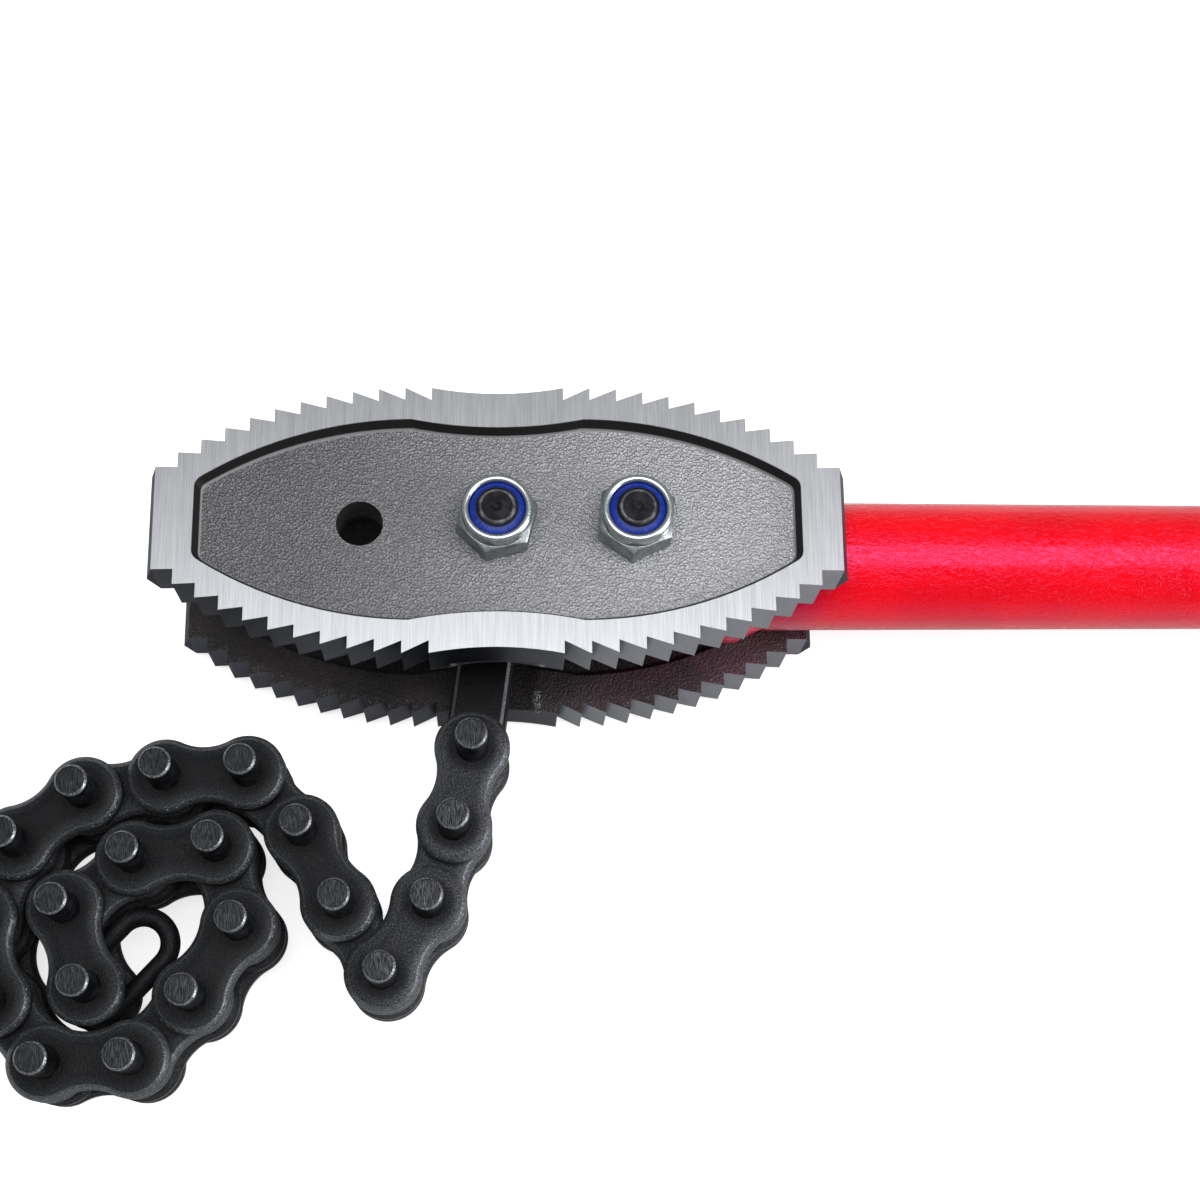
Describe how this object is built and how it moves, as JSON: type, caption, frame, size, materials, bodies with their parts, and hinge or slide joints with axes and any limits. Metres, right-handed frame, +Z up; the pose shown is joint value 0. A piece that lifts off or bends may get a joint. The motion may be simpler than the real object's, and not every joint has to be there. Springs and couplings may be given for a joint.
{
  "type": "chain pipe wrench",
  "caption": "Double-ended chain pipe wrench: two toothed steel jaw plates bolted to a red bar handle, with a long-pin chain on the centre bolt.",
  "frame": {"origin": "centre bolt axis at the underside of its head, on the ground", "axes": "+X along the handle away from the jaws, +Z up through the bolts from heads to nuts, +Y away from the side where the chain lies"},
  "size_m": [0.9092, 0.187, 0.0743],
  "materials": {
    "jaw_steel": "ground rims, blasted panels",
    "red_paint": "glossy textured paint",
    "zinc": "zinc plated",
    "nylon": "blue nylon",
    "black_bolt": "black oxide",
    "pin_steel": "black oxide with worn ends",
    "chain_black": "black oxide"
  },
  "bodies": {
    "frame": {"upper_jaw": "jaw_steel", "lower_jaw": "jaw_steel", "handle": "red_paint", "centre_bolt": "black_bolt", "handle_bolt": "black_bolt", "centre_nut": "zinc", "handle_nut": "zinc", "centre_nylon": "nylon", "handle_nylon": "nylon", "centre_sleeve": "black_bolt"},
    "anchor": {"anchor_link": "chain_black"},
    "outer_1": {"outer_plates_1": "chain_black", "pins_1": "pin_steel"},
    "inner_1": {"inner_link_1": "chain_black"},
    "outer_2": {"outer_plates_2": "chain_black", "pins_2": "pin_steel"},
    "inner_2": {"inner_link_2": "chain_black"},
    "outer_3": {"outer_plates_3": "chain_black", "pins_3": "pin_steel"},
    "inner_3": {"inner_link_3": "chain_black"},
    "outer_4": {"outer_plates_4": "chain_black", "pins_4": "pin_steel"},
    "inner_4": {"inner_link_4": "chain_black"},
    "outer_5": {"outer_plates_5": "chain_black", "pins_5": "pin_steel"},
    "inner_5": {"inner_link_5": "chain_black"},
    "outer_6": {"outer_plates_6": "chain_black", "pins_6": "pin_steel"},
    "inner_6": {"inner_link_6": "chain_black"},
    "outer_7": {"outer_plates_7": "chain_black", "pins_7": "pin_steel"},
    "inner_7": {"inner_link_7": "chain_black"},
    "outer_8": {"outer_plates_8": "chain_black", "pins_8": "pin_steel"},
    "inner_8": {"inner_link_8": "chain_black"},
    "outer_9": {"outer_plates_9": "chain_black", "pins_9": "pin_steel"},
    "inner_9": {"inner_link_9": "chain_black"},
    "outer_10": {"outer_plates_10": "chain_black", "pins_10": "pin_steel"},
    "loop": {"end_loop": "chain_black"}
  },
  "joints": [
    {"name": "anchor_swing", "type": "hinge", "parent": "frame", "child": "anchor", "pos_m": [0, 0, 0.025], "axis": [0, 0, 1], "range_deg": [-15, 30]},
    {"name": "chain_swing", "type": "hinge", "parent": "anchor", "child": "outer_1", "pos_m": [-0.00671, -0.05308, 0.025], "axis": [0, 0, 1], "range_deg": [-4, 60]},
    {"name": "link_1_turn", "type": "hinge", "parent": "outer_1", "child": "inner_1", "pos_m": [-0.01146, -0.07507, 0.025], "axis": [0, 0, 1], "range_deg": [0, 5]},
    {"name": "link_2_turn", "type": "hinge", "parent": "inner_1", "child": "outer_2", "pos_m": [-0.01811, -0.09656, 0.025], "axis": [0, 0, 1], "range_deg": [0, 15]},
    {"name": "uncoil", "type": "hinge", "parent": "outer_2", "child": "inner_2", "pos_m": [-0.0301, -0.1156, 0.025], "axis": [0, 0, 1], "range_deg": [0, 115]},
    {"name": "link_4_turn", "type": "hinge", "parent": "inner_2", "child": "outer_3", "pos_m": [-0.04229, -0.09669, 0.025], "axis": [0, 0, 1], "range_deg": [0, 5]},
    {"name": "link_5_turn", "type": "hinge", "parent": "outer_3", "child": "inner_3", "pos_m": [-0.05278, -0.07679, 0.025], "axis": [0, 0, 1], "range_deg": [-15, 0]},
    {"name": "link_6_turn", "type": "hinge", "parent": "inner_3", "child": "outer_4", "pos_m": [-0.06807, -0.06028, 0.025], "axis": [0, 0, 1], "range_deg": [-50, 0]},
    {"name": "link_7_turn", "type": "hinge", "parent": "outer_4", "child": "inner_4", "pos_m": [-0.09055, -0.06138, 0.025], "axis": [0, 0, 1], "range_deg": [-10, 0]},
    {"name": "link_8_turn", "type": "hinge", "parent": "inner_4", "child": "outer_5", "pos_m": [-0.11249, -0.06636, 0.025], "axis": [0, 0, 1], "range_deg": [-25, 0]},
    {"name": "link_9_turn", "type": "hinge", "parent": "outer_5", "child": "inner_5", "pos_m": [-0.13026, -0.08015, 0.025], "axis": [0, 0, 1], "range_deg": [-30, 0]},
    {"name": "link_10_turn", "type": "hinge", "parent": "inner_5", "child": "outer_6", "pos_m": [-0.13877, -0.10099, 0.025], "axis": [0, 0, 1], "range_deg": [-35, 0]},
    {"name": "link_11_turn", "type": "hinge", "parent": "outer_6", "child": "inner_6", "pos_m": [-0.13378, -0.12293, 0.025], "axis": [0, 0, 1], "range_deg": [-30, 0]},
    {"name": "link_12_turn", "type": "hinge", "parent": "inner_6", "child": "outer_7", "pos_m": [-0.11849, -0.13944, 0.025], "axis": [0, 0, 1], "range_deg": [-50, 0]},
    {"name": "link_13_turn", "type": "hinge", "parent": "outer_7", "child": "inner_7", "pos_m": [-0.09602, -0.13834, 0.025], "axis": [0, 0, 1], "range_deg": [-45, 0]},
    {"name": "link_14_turn", "type": "hinge", "parent": "inner_7", "child": "outer_8", "pos_m": [-0.08091, -0.12167, 0.025], "axis": [0, 0, 1], "range_deg": [-10, 0]},
    {"name": "link_15_turn", "type": "hinge", "parent": "outer_8", "child": "inner_8", "pos_m": [-0.06892, -0.10263, 0.025], "axis": [0, 0, 1], "range_deg": [-50, 0]},
    {"name": "link_16_turn", "type": "hinge", "parent": "inner_8", "child": "outer_9", "pos_m": [-0.0758, -0.0812, 0.025], "axis": [0, 0, 1], "range_deg": [-80, 0]},
    {"name": "link_17_turn", "type": "hinge", "parent": "outer_9", "child": "inner_9", "pos_m": [-0.09809, -0.08426, 0.025], "axis": [0, 0, 1], "range_deg": [-30, 0]},
    {"name": "link_18_turn", "type": "hinge", "parent": "inner_9", "child": "outer_10", "pos_m": [-0.11587, -0.09805, 0.025], "axis": [0, 0, 1], "range_deg": [-70, 0]},
    {"name": "loop_turn", "type": "hinge", "parent": "outer_10", "child": "loop", "pos_m": [-0.10899, -0.11947, 0.025], "axis": [0, 0, 1], "range_deg": [-120, 0]}
  ],
  "couplings": [
    {"joint": "link_1_turn", "follows": "uncoil", "ratio": 0.043478},
    {"joint": "link_2_turn", "follows": "uncoil", "ratio": 0.13043},
    {"joint": "link_4_turn", "follows": "uncoil", "ratio": 0.043478},
    {"joint": "link_5_turn", "follows": "uncoil", "ratio": -0.13043},
    {"joint": "link_6_turn", "follows": "uncoil", "ratio": -0.43478},
    {"joint": "link_7_turn", "follows": "uncoil", "ratio": -0.086957},
    {"joint": "link_8_turn", "follows": "uncoil", "ratio": -0.21739},
    {"joint": "link_9_turn", "follows": "uncoil", "ratio": -0.26087},
    {"joint": "link_10_turn", "follows": "uncoil", "ratio": -0.30435},
    {"joint": "link_11_turn", "follows": "uncoil", "ratio": -0.26087},
    {"joint": "link_12_turn", "follows": "uncoil", "ratio": -0.43478},
    {"joint": "link_13_turn", "follows": "uncoil", "ratio": -0.3913},
    {"joint": "link_14_turn", "follows": "uncoil", "ratio": -0.086957},
    {"joint": "link_15_turn", "follows": "uncoil", "ratio": -0.43478},
    {"joint": "link_16_turn", "follows": "uncoil", "ratio": -0.69565},
    {"joint": "link_17_turn", "follows": "uncoil", "ratio": -0.26087},
    {"joint": "link_18_turn", "follows": "uncoil", "ratio": -0.6087},
    {"joint": "loop_turn", "follows": "uncoil", "ratio": -1.0435}
  ]
}
